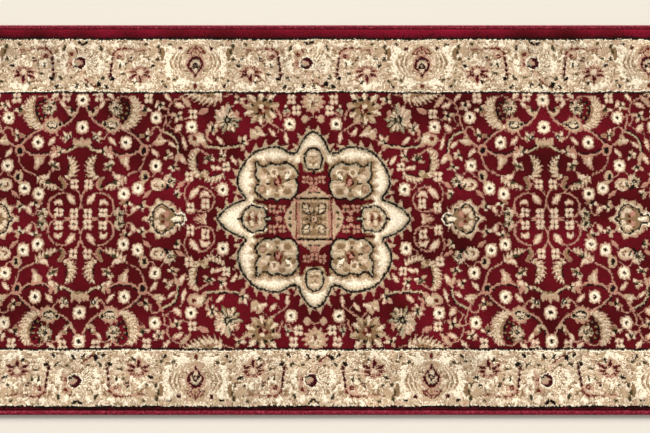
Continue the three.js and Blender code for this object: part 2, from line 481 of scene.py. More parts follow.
    # The flower square.
    region(card, square, STONE, INK, 4.2)
    card.paint(depth(card, square) > 4.4 + 2 * np.abs((round_it / 6.0) % 1.0 - 0.5), SAND)
    for x, y, long, wide, angle in ((54, 56, 8, 7, 0), (105, 61, 9, 9, 0), (74, 76, 18, 15, 0),
                                    (66, 104, 8, 4, 0), (100, 100, 8, 5, 30), (42, 86, 5, 7, 0),
                                    (76, 48, 6, 5, 0), (54, 92, 6, 8, 0)):
        oval(card, x, y, long, wide, CAMEL, angle)
    draw(card, oval, (106, 62, 5, 5, BLUSH), petal, (66, 47, 88, 20, 7, CREAM), (86, 62, -54, 18, 8, CREAM),
         (97, 60, -110, 14, 5, IVORY), oval, (47, 70, 7, 3, CREAM), (57, 71, 6, 3, CREAM),
         petal, (60, 79, 126, 26, 8, IVORY), (42, 101, -8, 19, 5, CREAM), (48, 92, 30, 11, 4, CAMEL),
         oval, (81, 95, 8, 10, CREAM), (81, 95, 4.4, 6, CAMEL), (102, 86, 7, 3.8, CREAM, -15),
         (104, 92, 5, 2.4, BLUSH, -15), (95, 79, 5, 3, CREAM), (40, 60, 4, 5, CREAM),
         petal, (58, 81, 180, 13, 5, OLIVE), oval, (93, 72.5, 5, 2.2, INK), (76, 58, 2.2, 3.6, OLIVE, 30),
         (93, 93, 2.2, 3.6, OLIVE, -30), (74, 76, 9, 9.5, RUST), petal, (70, 82, 92, 12, 6, RUST),
         oval, (74, 77, 4.4, 5, ROSE), (80, 74, 2.4, 5, INK), (70, 70, 4, 2, ROSE))


def palmette(card):
    """The flower head between two medallions, which lies on the middle line."""
    body = [(266, -20), (268, 7), (278, 8), (285, 10), (288, 20), (294, 19), (299, 23), (306, 29), (314, 29),
            (322, 24), (327, 14), (329, 4), (334, 3), (340, -10), (336, -20)]
    gap, along, _ = card.distance(smooth(body, closed=True))
    spine = np.clip(1 - np.abs((along / 14.0) % 1.0 - 0.5) / 0.4, 0, 1)
    ahead = (card.x > 272) & (card.x < 352)
    for start, tip, yarn in ((7, 8, ROSE), (5.5, 7, SAND), (3, 5, CREAM)):
        card.paint(ahead & (gap < start + tip * spine), yarn)
    card.paint((gap < 4.6) & (card.x < 282), IVORY)
    draw(card, region, (body, SAND, INK, 4.0),
         ([(288, -10), (288, 16), (299, 22), (310, 26), (321, 20), (326, 4), (330, -10)], CAMEL),
         ([(268, -10), (274, 3), (284, 4), (292, 0), (294, -10)], IVORY),
         oval, (316, 20, 3, 2, INK), (303, 19, 2.4, 2.4, INK), (311, 17, 9, 5, CREAM), (320, 8, 4, 7, CREAM),
         (300, 10, 5, 7, ROSE), (308, 5, 3, 4, RUST), (297, 17, 3, 2, RUST))


def star_flower(card, x, y, size=38.0):
    """A big flower of pointed petals round a ringed seed, most of them with a pale tip."""
    petals = ((-150, 0.92, CREAM), (-122, 1.02, SAND), (-86, 0.94, CREAM), (-56, 1.04, SAND),
              (-22, 1.02, CREAM), (6, 1.02, SAND), (42, 1.08, CREAM), (84, 0.92, CREAM), (128, 1.08, CREAM),
              (168, 0.98, SAND))
    for turn, reach, _ in petals:
        petal(card, x, y, turn, size * reach, size * 0.46, BLUSH)
    oval(card, x, y, size * 0.64, size * 0.64, CAMEL)
    for k, (turn, reach, tip) in enumerate(petals):
        petal(card, x, y, turn, size * reach * 0.94, size * 0.38, CAMEL)
        way = np.radians(turn)
        start = size * reach * 0.46
        place = (x + start * np.cos(way), y + start * np.sin(way))
        petal(card, *place, turn + 8, size * reach * 0.52, size * 0.2, tip)
        petal(card, x, y, turn + 16, size * 0.66, size * 0.1, OLIVE if k % 3 else RUST)
    for turn, reach in ((-170, 0.56), (-104, 0.44), (-50, 0.42), (18, 0.56), (62, 0.6), (108, 0.46),
                        (140, 0.62)):
        way = np.radians(turn)
        oval(card, x + size * reach * np.cos(way), y + size * reach * np.sin(way), 4.4, 2.6, INK, turn + 40)
    draw(card, oval, (x, y - 2, 9.0, 11.0, RUST), (x + 2, y + 4, 5.0, 4, CREAM), (x - 3, y - 6, 3, 4, BLUSH),
         (x + 4, y - 5, 2.2, 4, INK))


def feather_flower(card, x, y, size):
    """A loose flower: narrow petals fan out over a dark middle, broader and pinker on the lower right."""
    petals = ((-150, 0.9), (-122, 1.0), (-98, 0.8), (-70, 0.98), (-40, 0.8), (-14, 0.86), (14, 0.9),
              (38, 1.02), (66, 1.0), (90, 1.12), (118, 0.74), (146, 0.9), (176, 0.96))
    oval(card, x, y, size * 0.78, size * 0.7, INK, 60)
    for k, (turn, reach) in enumerate(petals):
        way = np.radians(turn)
        far = size * reach
        broad = size * (0.3 if 0 < turn < 100 else 0.2)
        start = (x + 0.24 * far * np.cos(way), y + 0.24 * far * np.sin(way))
        petal(card, *start, turn, far * 0.8, broad * 1.5, BLUSH if 0 < turn < 100 else CAMEL)
        petal(card, *start, turn + 6, far * 0.7, broad, CREAM if k % 3 else STONE)
        petal(card, x, y, turn + 13, far * 0.86, size * 0.1, INK)
    draw(card, oval, (x, y, size * 0.14, size * 0.14, OLIVE), (x, y, size * 0.08, size * 0.08, STONE))


def ivy_leaf(card, points):
    """A broad leaf with points, and a paler vein down its middle."""
    region(card, points, SAND, ROSE, 2.0)
    middle = np.mean(points, axis=0)
    tip = points[0]
    turn = np.degrees(np.arctan2(middle[1] - tip[1], middle[0] - tip[0]))
    draw(card, petal, (*tip, turn, 1.6 * np.hypot(*(middle - tip)), 6, CREAM),
         (*middle, turn + 60, 9, 4, CAMEL))


def field(card):
    """A quarter of the repeat: x out from the medallion along the runner, y out from the middle line."""
    # Stems, which the flowers are drawn over.
    draw(card, vine, ([(211, 68), (200, 60)], 2.6),
         ([(250, 12), (240, 18), (228, 15), (217, 16), (209, 22), (204, 32), (203, 42), (207, 52), (215, 60),
           (224, 65), (236, 66)], 4.2),
         ([(256, 28), (262, 40), (264, 50), (263, 60), (258, 70), (254, 78)], 3.6),
         ([(262, 78), (268, 74)], 2.6),
         ([(140, 160), (147, 154), (158, 149), (175, 147), (195, 147), (212, 148), (224, 153)], 5.2, SAND,
           True),
         ([(170, 149), (178, 143), (182, 135)], 3.6),
         ([(255, 131), (246, 142), (234, 143), (224, 137), (214, 131)], 5),
         ([(276, 128), (278, 140), (279, 155), (285, 167), (295, 175), (309, 181)], 5.0, SAND, True),
         ([(309, 181), (307, 192), (303, 202), (303, 214)], 4.2),
         ([(266, 168), (272, 176), (282, 182), (292, 189), (301, 195)], 2.8),
         ([(301, 194), (293, 202), (291, 213), (298, 220), (296, 232), (290, 243), (279, 249), (268, 252)],
           3.6),
         ([(292, 216), (304, 214), (310, 211)], 3),
         ([(296, 227), (304, 231), (311, 237)], 2.6),
         ([(293, 243), (295, 250)], 2.6),
         ([(256, 210), (264, 206), (272, 206)], 3),
         ([(323, 96), (330, 88), (338, 86)], 3),
         ([(300, 88), (308, 91), (312, 97)], 2.6),
         ([(347, 138), (346, 126), (350, 112), (357, 102), (368, 96), (380, 90)], 4.2),
         ([(352, 140), (360, 139), (370, 133), (385, 131), (400, 131), (414, 138)], 5.6, ROSE, True),
         ([(349, 150), (356, 160), (366, 170), (378, 179), (392, 186), (402, 190)], 5.4, ROSE, True),
         ([(342, 149), (333, 152), (325, 159), (318, 168), (313, 178), (310, 184)], 5.0),
         ([(313, 180), (316, 188), (323, 190), (330, 186), (332, 176)], 4.0),
         ([(422, 184), (424, 174), (431, 166)], 3.6),
         ([(438, 137), (450, 142), (462, 149), (470, 154)], 6.0, SAND, True),
         ([(428, 192), (438, 194), (450, 203), (459, 214), (465, 226), (470, 238)], 5.4, ROSE, True),
         ([(440, 3), (455, 3), (467, 15), (474, 28), (475, 42), (470, 54), (461, 64)], 4.2),
         ([(424, 2), (414, 8), (409, 20), (409, 32), (414, 42), (423, 49), (433, 53), (444, 53)], 4.6),
         ([(440, 74), (450, 70), (456, 68)], 3),
         ([(413, 68), (414, 58)], 3),
         ([(55, 177), (66, 185), (78, 193), (91, 201)], 3.4),
         ([(71, 184), (74, 177), (80, 173)], 3),
         ([(106, 188), (98, 196), (92, 204)], 3.4),
         ([(-6, 214), (4, 211), (12, 207)], 3.4),
         ([(66, 206), (68, 216), (74, 228)], 5),
         ([(46, 220), (54, 213), (60, 214)], 3),
         ([(126, 165), (134, 161)], 3),
         ([(163, 237), (168, 231)], 3),
         ([(158, 262), (170, 259), (184, 254)], 3),
         ([(412, 242), (422, 248), (432, 246)], 4),
         ([(396, 250), (406, 243), (412, 238)], 4))
    # The curl of serrated leaves at the medallion's shoulder.
    draw(card, plume, ([(184, 96), (190, 89), (199, 85), (210, 82), (224, 84)], 8.5, -1, 10, 9),
         ([(224, 90), (236, 92), (243, 100), (246, 113), (246, 127), (242, 137), (233, 143)], 13, -1, 8, 9),
         oval, (223, 92, 7, 8, SAND), (228, 88, 5, 4, CAMEL), (218, 97, 3, 4, CAMEL),
         bud, (214, 122, -30, 13, (0, 60, 150, -160)), oval, (216, 127, 8, 3, OLIVE, -30),
         leaf, (207, 108, 186, 102, 9, CREAM), (203, 99, 209, 112, 8, CREAM),
         bud, (189, 129, 80, 13, (150, 80, -150, 10)), blossom, (179, 107, 8.2, 9.4),
         leaf, (170, 131, 156, 110, 9))
    # The spiral next to the medallion's side.
    draw(card, blossom, (221, 31, 8.6, 10.6),
         region, ([(211, 45), (216, 55), (223, 58), (229, 54), (232, 43), (226, 46), (220, 47)], CREAM, ROSE,
           2),
         leaf, (233, 68, 255, 40, 15), blossom, (252, 23, 8.2, 10.4), (254.5, 87, 8.4, 10.6))
    for turn, long in ((100, 14), (60, 12), (30, 20), (0, 24)):
        petal(card, 224, -1, turn, long, 9, ROSE)
        petal(card, 224, -1, turn, long - 3, 5, CREAM if turn > 40 else SAND)
    draw(card, petal, (232, 3, 40, 12, 4, RUST), bud, (281, 50, 20, 12, (150, 60, 200, 100, -160)),
         leaf, (263, 76, 281, 65, 9, ROSE), rosette, (186, 60.5), palmette, ())
    # Between the palmette and the spiral.
    draw(card, feather_flower, (294, 77, 15), oval, (302, 66, 7, 6, INK), (318, 71, 17, 13, ROSE),
         (318, 71, 15, 11, SAND), (312, 74, 8, 6, CREAM),
         line, ([(316, 60), (328, 63), (330, 72), (322, 78)], 3.6, CREAM),
         ([(318, 66), (325, 69), (322, 75)], 2.4, RUST),
         petal, (305, 62, 60, 16, 4, OLIVE), leaf, (331, 60, 348, 43, 8, ROSE),
         bud, (351, 26, 60, 13, (60, 200, 120, -70)),
         vine, ([(372, 10), (378, 8), (383, 14), (385, 24), (384, 34)], 4),
         leaf, (364, 28, 373, 10, 12), bud, (382, 33, 180, 13, (180, 120, -140, 20), CAMEL),
         feather_flower, (397, 10, 13), rosette, (388, 51.5), (359, 63), oval, (350, 76, 7, 4, SAND, -60),
         (346, 88, 10, 13, ROSE), (346, 88, 8, 10.5, SAND), (344.5, 86.5, 4.6, 6.6, INK),
         rosette, (323, 109.5))
    # The second spiral, and the leaves below it.
    draw(card, blossom, (430, 13, 8.6, 9.4),
         region, ([(421, 30), (424, 38), (430, 40), (436, 36), (436, 28), (430, 31)], CREAM, ROSE, 2),
         leaf, (446, 53, 463, 29, 15), blossom, (461, 11, 8.4, 10.4), (460.5, 71.5, 8.4, 10.4),
         plume, ([(384, 88), (391, 81), (402, 74), (415, 69), (428, 64)], 9, -1, 9, 10),
         region, ([(389, 89), (394, 83), (402, 81), (408, 86), (411, 98), (404, 91), (396, 90)], CREAM, ROSE,
           2),
         oval, (407, 75, 5, 3, OLIVE),
         line, ([(436, 62), (441, 70), (437, 78), (433, 84)], 9, ROSE),
         ([(436, 63), (440, 70), (436, 78), (433, 84)], 6, CAMEL),
         oval, (434, 66, 2.6, 4.4, INK),
         plume, ([(440, 87), (449, 89), (455, 97), (456, 108), (453, 119), (446, 129)], 13, -1, 9, 9),
         bud, (418, 110, -35, 14, (0, 50, 180, 150, -60)), oval, (421, 108, 8, 3, OLIVE, -35),
         region, ([(378, 103), (385, 105), (388, 111), (395, 116), (397, 129), (390, 127), (384, 130),
           (378, 129), (380, 118)], SAND, ROSE, 2.6),
         petal, (385, 128, -92, 20, 6, CREAM), leaf, (410, 124, 424, 139, 13),
         petal, (418, 138, 100, 14, 9, ROSE), bud, (431, 140, 60, 12, (60, -60, 120, 180)))
    # Trefoil leaves between the medallion's curl and the middle stem.
    draw(card, leaf, (276, 136, 262, 111, 13), (275, 137, 284, 116, 10, SAND), (277, 134, 268, 128, 6, SAND),
         bud, (286, 106, 100, 12, (100, 200, 20, -110)), (300, 131, 100, 13, (100, 200, 10, 60)),
         leaf, (317, 127, 333, 146, 10), (281, 146, 298, 161, 9), (261, 140, 269, 171, 10))
    # The middle stem's knot, and its leaves and flowers.
    draw(card, oval, (348, 142, 10.5, 13, ROSE), (348, 141, 5.4, 7.4, INK),
         ivy_leaf, ([(301, 162), (307, 156), (315, 153), (323, 153), (326, 159), (320, 166), (318, 173),
           (311, 170), (308, 164)],),
         bud, (343, 172, 80, 14, (-80, 170, 80, 30), CAMEL), rosette, (385, 158),
         leaf, (404, 151, 422, 170, 11), bud, (444, 169, 180, 13, (-130, 60, 20, -60)),
         oval, (447, 169, 6, 6, STONE), (447, 169, 4.6, 4.6, INK), (447, 169, 2.2, 2.4, CREAM))
    for x, reach in ((460, 13), (467, 11), (475, 15)):
        petal(card, x, 150, 90, reach + 6, 9, ROSE)
        petal(card, x, 151, 90, reach + 3, 5.6, SAND)
    draw(card, oval, (475, 152, 15, 4, SAND), (475, 150, 12, 2, CAMEL), rosette, (474, 189.5), (323, 210))
    # The ringed flower with its great curl.
    for turn in range(20, 380, 40):
        petal(card, 413, 194, turn, 20, 12, ROSE)
    draw(card, oval, (413, 194, 15, 13.5, SAND), (414, 194, 11, 8.6, INK), (414, 195, 8.6, 6.0, CREAM),
         line, ([(408, 197), (414, 198), (419, 194)], 2, OLIVE),
         oval, (429, 196, 6, 6, SAND), (429, 196, 3.4, 4, INK),
         plume, ([(396, 190), (384, 194), (375, 201), (369, 211), (366, 223), (367, 236), (371, 246),
           (380, 252)], 22, 1, 6, 7),
         vine, ([(376, 250), (386, 255), (398, 254), (410, 245)], 4),
         feather_flower, (406, 229, 17))
    for x, y in ((388, 210), (382, 220), (381, 232), (386, 241), (396, 246), (397, 214), (415, 240)):
        oval(card, x, y, 4.4, 3, INK, x)
        oval(card, x + 3, y - 2, 2.4, 2, CAMEL)
    draw(card, bud, (347, 227, 170, 14, (150, -110, 100, 20), CAMEL), blossom, (339, 251, 8.6, 10.6),
         (441, 254, 8.6, 10.6), leaf, (428, 247, 441, 228, 9), (410, 248, 428, 266, 11),
         line, ([(444, 226), (448, 218), (455, 216), (461, 221)], 6, SAND),
         bud, (453, 227, 90, 13, (70, 120), CAMEL), rosette, (474, 247),
         bud, (315, 236, 110, 13, (110, 40, -60, 170)), leaf, (318, 244, 326, 230, 8))
    # Round the feather flower.
    draw(card, leaf, (183, 153, 200, 170, 10), feather_flower, (176, 205, 31),
         bud, (207, 187, 110, 15, (-135, -75, -30, 30, 100, 150)),
         region, ([(222, 150), (232, 156), (238, 152), (248, 153), (256, 162), (253, 172), (244, 174),
           (236, 178), (226, 174), (220, 164)], SAND, ROSE, 3),
         oval, (232, 165, 8, 8, CREAM), (244, 166, 5, 5, RUST),
         line, ([(210, 161), (217, 166), (217, 178)], 5, ROSE),
         ([(218, 158), (225, 172)], 3, OLIVE),
         blossom, (247, 217, 8.6, 9.6), rosette, (250, 190.5), leaf, (214, 229, 236, 218, 13, ROSE),
         (270, 197, 285, 179, 14), bud, (278, 214, 90, 14, (-80, 40, 130, 200)),
         leaf, (264, 230, 288, 242, 12), (250, 230, 274, 258, 11, SAND),
         plume, ([(186, 255), (196, 250), (208, 248), (222, 250), (238, 255), (252, 261), (266, 268)], 12,
           -1, 12, 11),
         oval, (212, 259, 22, 4, CAMEL, 6), (236, 262, 14, 2.4, CREAM, 6), (196, 259, 10, 5, CREAM, 15),
         leaf, (292, 244, 307, 262, 10), bud, (153, 247, 120, 14, (100, 200, -60, 50)),
         leaf, (158, 226, 155, 208, 8, ROSE))
    # Below the medallion.
    draw(card, leaf, (54, 154, 57, 180, 10), (76, 169, 92, 188, 10), rosette, (48, 196.5),
         ivy_leaf, ([(96, 173), (104, 170), (112, 171), (119, 165), (128, 168), (129, 178), (128, 187),
           (121, 184), (116, 192), (108, 188), (103, 180)],),
         oval, (16, 207, 8, 8.5, ROSE), (16, 206, 5.5, 6, SAND), blossom, (34, 225, 8.6, 10.6),
         (44, 248, 8.6, 10.6), bud, (57, 228, 140, 12, (140, -40, 70), STONE), star_flower, (105, 230),
         bud, (146, 158, -50, 16, (-45, -120, 110, 170)))
    for turn in range(-90, 91, 30):
        petal(card, 0, 243, turn, 27, 10, ROSE)
        petal(card, 0, 243, turn, 24, 6, SAND)
    draw(card, oval, (0, 243, 13, 16, SAND), (0, 243, 9, 12, CAMEL))
    for turn in (20, 80, -40):
        petal(card, 0, 243, turn, 15, 5, CREAM)
    draw(card, oval, (0, 241, 3.4, 5, RUST), leaf, (452, 262, 446, 254, 6))


def half_border(card):
    """Half a repeat of the border: x from the seed flower to the palmette, y from the field's edge outwards.
    Its ground is a tangle of small leaves, each with a paler edge, which lie over each other as they come."""
    draws = np.random.default_rng(7)
    for step in range(620):
        x, y, turn, long = draws.uniform((-8, -6, 0, 6), (246, 118, 360, 14))
        wide = long * draws.uniform(0.3, 0.6)
        blade = (SAND, CAMEL, CREAM, SAND, CAMEL, SAND, CAMEL, CREAM, SAND, BLUSH)[step % 10]
        petal(card, x, y, turn, long + 2.0, wide + 2.6, (IVORY, CREAM)[step % 2])
        petal(card, x, y, turn, long, wide, blade)
        if step % 2:
            petal(card, x, y, turn, long * 0.7, wide * 0.34, CAMEL if blade == SAND else SAND)
    rim = 2.4 + 1.6 * np.sin(card.x / 4.1) * np.sin(card.x / 9.7 + 1)
    card.paint((card.y < rim) | (card.y > BORDER_WIDTH - rim), IVORY)
    for x, y, long, wide in ((16, 8, 10, 6), (38, 50, 6, 14), (45, 72, 9, 7), (80, 58, 8, 6),
                             (70, 102, 9, 7), (22, 98, 8, 8), (120, 12, 10, 9), (139, 14, 8, 8),
                             (124, 70, 9, 8), (182, 60, 6, 26), (208, 16, 14, 9), (186, 90, 7, 10),
                             (110, 60, 6, 6), (100, 104, 8, 6)):
        for _ in range(7):
            place = (x + draws.normal(0, long / 2), y + draws.normal(0, wide / 2))
            oval(card, *place, long * 0.45, wide * 0.35, IVORY, draws.uniform(0, 180))
    for x, y, long, wide, angle in ((64, 20, 6, 9, 0), (30, 60, 12, 6, 0), (22, 78, 16, 5, 10),
                                    (84, 38, 9, 10, 0), (55, 86, 9, 8, 0), (100, 22, 14, 5, 20),
                                    (95, 68, 12, 3, 50), (112, 88, 20, 3, 5), (126, 80, 12, 4, 30),
                                    (168, 64, 8, 8, 0), (160, 92, 10, 4, 0)):
        for _ in range(4):
            place = (x + draws.normal(0, long / 2), y + draws.normal(0, wide / 2))
            oval(card, *place, long * 0.4, 1.8, CAMEL, angle + draws.uniform(-60, 60))
    draw(card, oval, (169, 79, 7, 18, IVORY), (168, 80, 5, 15, CAMEL))
    # Specks of dark yarn in the leaves.
    for x, y, long, wide, angle in ((10, 13, 7, 2.6, -50), (22, 30, 4, 3, 0), (44, 29, 3, 6, -45),
                                    (51, 11, 6, 3, -40), (64, 28, 6, 4, 30), (79, 57, 3, 6, 0),
                                    (85, 38, 4, 3, 0), (101, 70, 5, 3, 40), (38, 92, 3.4, 6, 20),
                                    (5, 103, 7, 3, 40), (147, 55, 6, 3.4, 20), (140, 70, 4, 2, 0),
                                    (176, 12, 5, 2.6, -30), (168, 23, 4, 3, 0), (193, 25, 4, 3.4, 0),
                                    (158, 70, 3, 5, 0), (163, 85, 3, 6, 0), (160, 97, 3.4, 5, 0),
                                    (185, 100, 5, 3, 0), (112, 20, 5, 2.4, 40), (92, 58, 2.4, 4, 0),
                                    (132, 101, 4, 2.4, 0)):
        oval(card, x, y, long, wide, INK if long > 4 else OLIVE, angle)
    # The hook.
    for x, y, long, turn in ((57, 30, 12, 70), (60, 41, 12, 84), (61, 52, 13, 80), (63, 64, 12, 84),
                             (62, 77, 13, 54), (70, 88, 13, 24), (82, 92, 13, 2)):
        petal(card, x, y, turn, long + 1, 9, BLUSH)
        petal(card, x, y, turn, long, 5.6, PLUM if y < 75 else RUST)
    draw(card, line, ([(96, 91), (104, 90), (118, 90), (136, 90)], 3.4, BLUSH),
         ([(96, 91), (108, 91)], 2.4, RUST),
         ([(121, 89), (135, 89)], 2.4, RUST),
         oval, (78, 79, 12, 9, BLUSH, 20), (80, 82, 6, 3, CREAM, 20), (77, 75, 5, 5, RUST),
         (77, 75, 2, 2, BLUSH), (99, 66, 7, 5, BLUSH), (99, 66, 4, 2.6, OLIVE))
    # The star flower.
    oval(card, 122, 42, 17, 12, BLUSH)
    for turn, long, wide in ((-150, 27, 7), (-112, 15, 4), (-88, 25, 9), (-58, 15, 4), (-28, 24, 8),
                             (4, 22, 6), (36, 16, 6), (66, 12, 6), (92, 13, 6), (122, 14, 6), (154, 20, 6),
                             (178, 24, 6)):
        petal(card, 122, 42, turn, long + 3, wide + 4, BLUSH)
        petal(card, 122, 42, turn, long, wide * 0.9, RUST if turn > 0 else CLARET)
        petal(card, 122, 42, turn, long * 0.7, wide * 0.4, PLUM)
    draw(card, oval, (122, 42, 8, 7, BLUSH), (122, 42, 6, 5.4, CREAM))
    # The palmette.
    middle = REPEAT_LENGTH / 4
    for size in (52, 43, 34):
        for route, width, yarn in (
            ([(0, 10 + 0.3 * size), (0.5, 27), (1, 56), (0.9, 78), (0.55, 92)], 6, IVORY),
            ([(0, 12 + 0.3 * size), (0.55, 30), (1, 58), (0.86, 78), (0.5, 92)], 4.2, SAND),
            ([(0.92, 50), (1, 60), (0.9, 74)], 2.6, CAMEL),
        ):
            line(card, [(middle - size * share, y) for share, y in route], width, yarn)
    for outline, yarn in (
        ([(9, 24), (0, 26), (-8, 38), (-19, 50), (-21, 62), (-12, 76), (9, 78)], BLUSH),
        ([(9, 26), (0, 30), (-5, 39), (-13, 47), (-17, 56), (-14, 66), (-6, 74), (9, 76)], CLARET),
        ([(9, 28), (0, 32), (-5, 41), (-11, 47), (-15, 56), (-12, 66), (-5, 72), (9, 74)], PLUM),
        ([(9, 34), (0, 38), (-6, 46), (-11, 55), (-9, 63), (0, 69), (9, 71)], BLUSH),
        ([(9, 36), (0, 41), (-4, 47), (-9, 55), (-7, 61), (0, 66), (9, 68)], CREAM),
        ([(9, 50), (0, 51), (-6, 49), (-8, 55), (-4, 59), (0, 63), (9, 63)], INK),
        ([(9, 74), (-5, 75), (-11, 80), (-20, 80), (-14, 90), (-5, 96), (0, 99), (9, 99)], RUST),
        ([(9, 77), (-4, 77), (-10, 83), (-15, 83), (-11, 89), (-4, 94), (0, 96), (9, 96)], BLUSH),
    ):
        region(card, np.add(outline, (middle, 0)), yarn)
    line(card, [(middle - 10, 82), (middle - 3, 92)], 2.4, RUST)
    for x, y, long, wide, yarn in ((0, 55, 2.6, 2.4, BLUSH), (-3, 66, 4, 2, STONE), (0, 92, 3.4, 3.4, RUST),
                                   (0, 84, 3, 4, CAMEL), (0, 13, 4, 5, RUST), (-33, 92, 5, 4, RUST),
                                   (-33, 92, 2.6, 2.4, INK)):
        oval(card, middle + x, y, long, wide, yarn)


def border(card):
    """A whole repeat of the border: the half is turned over, and the seed flower is drawn on the seam, with
    its petals spread to one side."""
    half = WeaveCard(REPEAT_LENGTH / 4, BORDER_WIDTH, SAND)
    half_border(half)
    middle = REPEAT_LENGTH / 4
    card.yarn = np.hstack((half.yarn[:, ::-1], half.yarn))
    for turn in range(-60, 75, 15):
        petal(card, middle + 4, 61, turn, 33, 9, IVORY)
        petal(card, middle + 4, 61, turn, 30, 5.5, CAMEL if turn % 30 else SAND)
    for turn in (150, 180, 210):
        petal(card, middle - 14, 61, turn, 20, 9, BLUSH)
        petal(card, middle - 16, 61, turn, 13, 4, RUST)
    draw(card, oval, (middle - 20, 80, 7, 6, BLUSH), (middle - 22, 80, 4, 4, RUST),
         line, ([(middle - 15, 93), (middle - 11, 84)], 3, RUST),
         oval, (middle - 5, 61, 15.5, 15.5, IVORY), (middle - 5, 61, 12.5, 13, PLUM),
         (middle - 8, 62, 8, 5.4, BLUSH, -30), (middle - 12, 58, 6, 3, STONE, -30),
         (middle - 14, 54, 3, 3, INK),
         line, ([(middle + 8, 26), (middle + 16, 19), (middle + 25, 13), (middle + 32, 12)], 3.4, RUST),
         ([(middle + 10, 30), (middle + 18, 23), (middle + 28, 18)], 3.4, BLUSH),
         oval, (middle + 36, 16, 5, 6, INK))


# The yarns, in the order of their names above, as dyed.
DYED = np.array([linear(code) for code in (
    "520910", "180c08", "cfb99d", "b09678", "826648", "aa7a66", "581c14", "ebdcc2", "3c3420", "a09278",
    "3a0a10", "b28c74", "5a0916")])
PILE_TOP = pile_high[2]
KNOT_FROM_SEAM = 0.35 * MM  # how far the pile parts where two yarns meet
UNEVEN = 0.3 * MM  # how much one tuft differs from the next
WAVINESS = 0.35 * MM  # how far the whole pile rises and falls
LONG_SIDE_DROP = 0.3 * MM  # how much lower the pile is along a band's long sides
SHORT_SIDE_DROP = 0.1 * MM  # and along the cuts across it
GROOVE_DEPTH = 3.0 * MM  # the plain bands' pile is shorn down next to the overcast edge
GROOVE_WIDTH = 2.0 * MM
TUFT_LEAN = 0.4  # how far a tuft's tip strays from its foot, in millimetres
CLUMP_LEAN = 0.85  # how far a clump of tufts, two each way, leans over as one
STRAY = 0.2  # how much of each tuft's colour comes from a fibre that strayed from nearby
SHADE_BESIDE_PALE = 0.3  # how dark the painted shade of a pale tuft can make a dark one beside it
TUFT_SPREAD = 0.13  # how much lighter or darker one tuft is than the next
PIECES_ALONG = 5  # the field's mesh is cut into lengths, to keep each a handy size
FAR_SEED_X = -11.5  # how far each border's seed flower lies from the medallion's middle, in millimetres
NEAR_SEED_X = -0.5
FAR_TIGHTNESS = 1.0115  # how much closer each border's repeat is woven than the field's
NEAR_TIGHTNESS = 1.006
SKEW = 0.012  # how far the pattern is pulled askew across the runner
LINE_WIDTH = 4.2  # the dark lines between the bands, in millimetres
LINE_IN = 1.6  # the inner line's middle lies this far into the field
LINE_OUT = 0.6  # the outer line's middle lies this far into the plain band
far_border_y, near_border_y = (
    np.array([corner[1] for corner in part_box(f"{side}_border_pile")]) / MM for side in ("far", "near"))
middle_y = (pile_low[1] + pile_high[1]) / 2 / MM
draws = np.random.default_rng(3)

field_card = WeaveCard(REPEAT_LENGTH / 2, FIELD_HALF_WIDTH, CLARET)
medallion(field_card)
field(field_card)
border_card = WeaveCard(REPEAT_LENGTH / 2, BORDER_WIDTH, SAND)
border(border_card)


def turned_over(place, half_repeat):
    """A place in a repeat that is turned over at both ends: back and forth between nought and half of it."""
    return np.abs((place + half_repeat) % (2 * half_repeat) - half_repeat)


def read_card(card, along, across, wide):
    """The yarn at each place in millimetres, from the square of the card that it falls in."""
    rows, columns = card.yarn.shape
    column = np.clip((along / (REPEAT_LENGTH / 2) * columns).astype(int), 0, columns - 1)
    row = np.clip((across / wide * rows).astype(int), 0, rows - 1)
    return card.yarn[row, column]


def beyond(y, far, near):
    """How far out a place lies from one line on the far side and another on the near side, in millimetres."""
    return np.where(y > middle_y, y - far, near - y)


def yarn_at(x, y):
    """The yarn for each place on the rug, in millimetres: the field's card is turned over about the middle
    line and both ways along, and the border's repeats along and is turned over for the near side. The dark
    lines between the bands wander by two sine waves. Past the outer one, dark tufts strewn by chance, fewer
    further out, give that line a ragged edge and paint shade into the plain bands."""
    along = turned_over(x + SKEW * (y - middle_y), REPEAT_LENGTH / 2)
    in_field = read_card(field_card, along, np.abs(y - middle_y), FIELD_HALF_WIDTH)
    wander = 0.7 * np.sin(x / 47 + y / 90) + 0.5 * np.sin(x / 13 + y / 35)
    out = beyond(y, far_border_y[0], near_border_y[1]) + wander
    from_seed = np.where(y > middle_y, FAR_TIGHTNESS * (x - FAR_SEED_X), NEAR_TIGHTNESS * (x - NEAR_SEED_X))
    along = (from_seed + REPEAT_LENGTH / 4) % (REPEAT_LENGTH / 2)
    in_border = read_card(border_card, along, out, BORDER_WIDTH)
    yarn = np.where(out < 0, in_field, np.where(out < BORDER_WIDTH, in_border, CRIMSON))
    inked = np.abs(out + LINE_IN) < LINE_WIDTH / 2
    inked |= np.abs(out - BORDER_WIDTH - LINE_OUT) < LINE_WIDTH / 2
    # Dark tufts past the outer line: a ragged edge to the woven line, and painted shade fading into the plain
    # band.
    painted_shade_chance = 0.8 * np.exp(-np.maximum(out - BORDER_WIDTH, 0) / 4.5)
    inked |= (out > BORDER_WIDTH) & (draws.random(out.shape) < painted_shade_chance)
    return np.where(inked, INK, yarn)


def undulation(x, y):
    """Soft unevenness of a rug that was rolled: a few long sine waves over the length and width."""
    broad = np.sin(x / 0.213 + 1.1) * np.cos(y / 0.171)
    return WAVINESS * (broad + 0.6 * np.sin(x / 0.097 + y / 0.133 + 0.4))


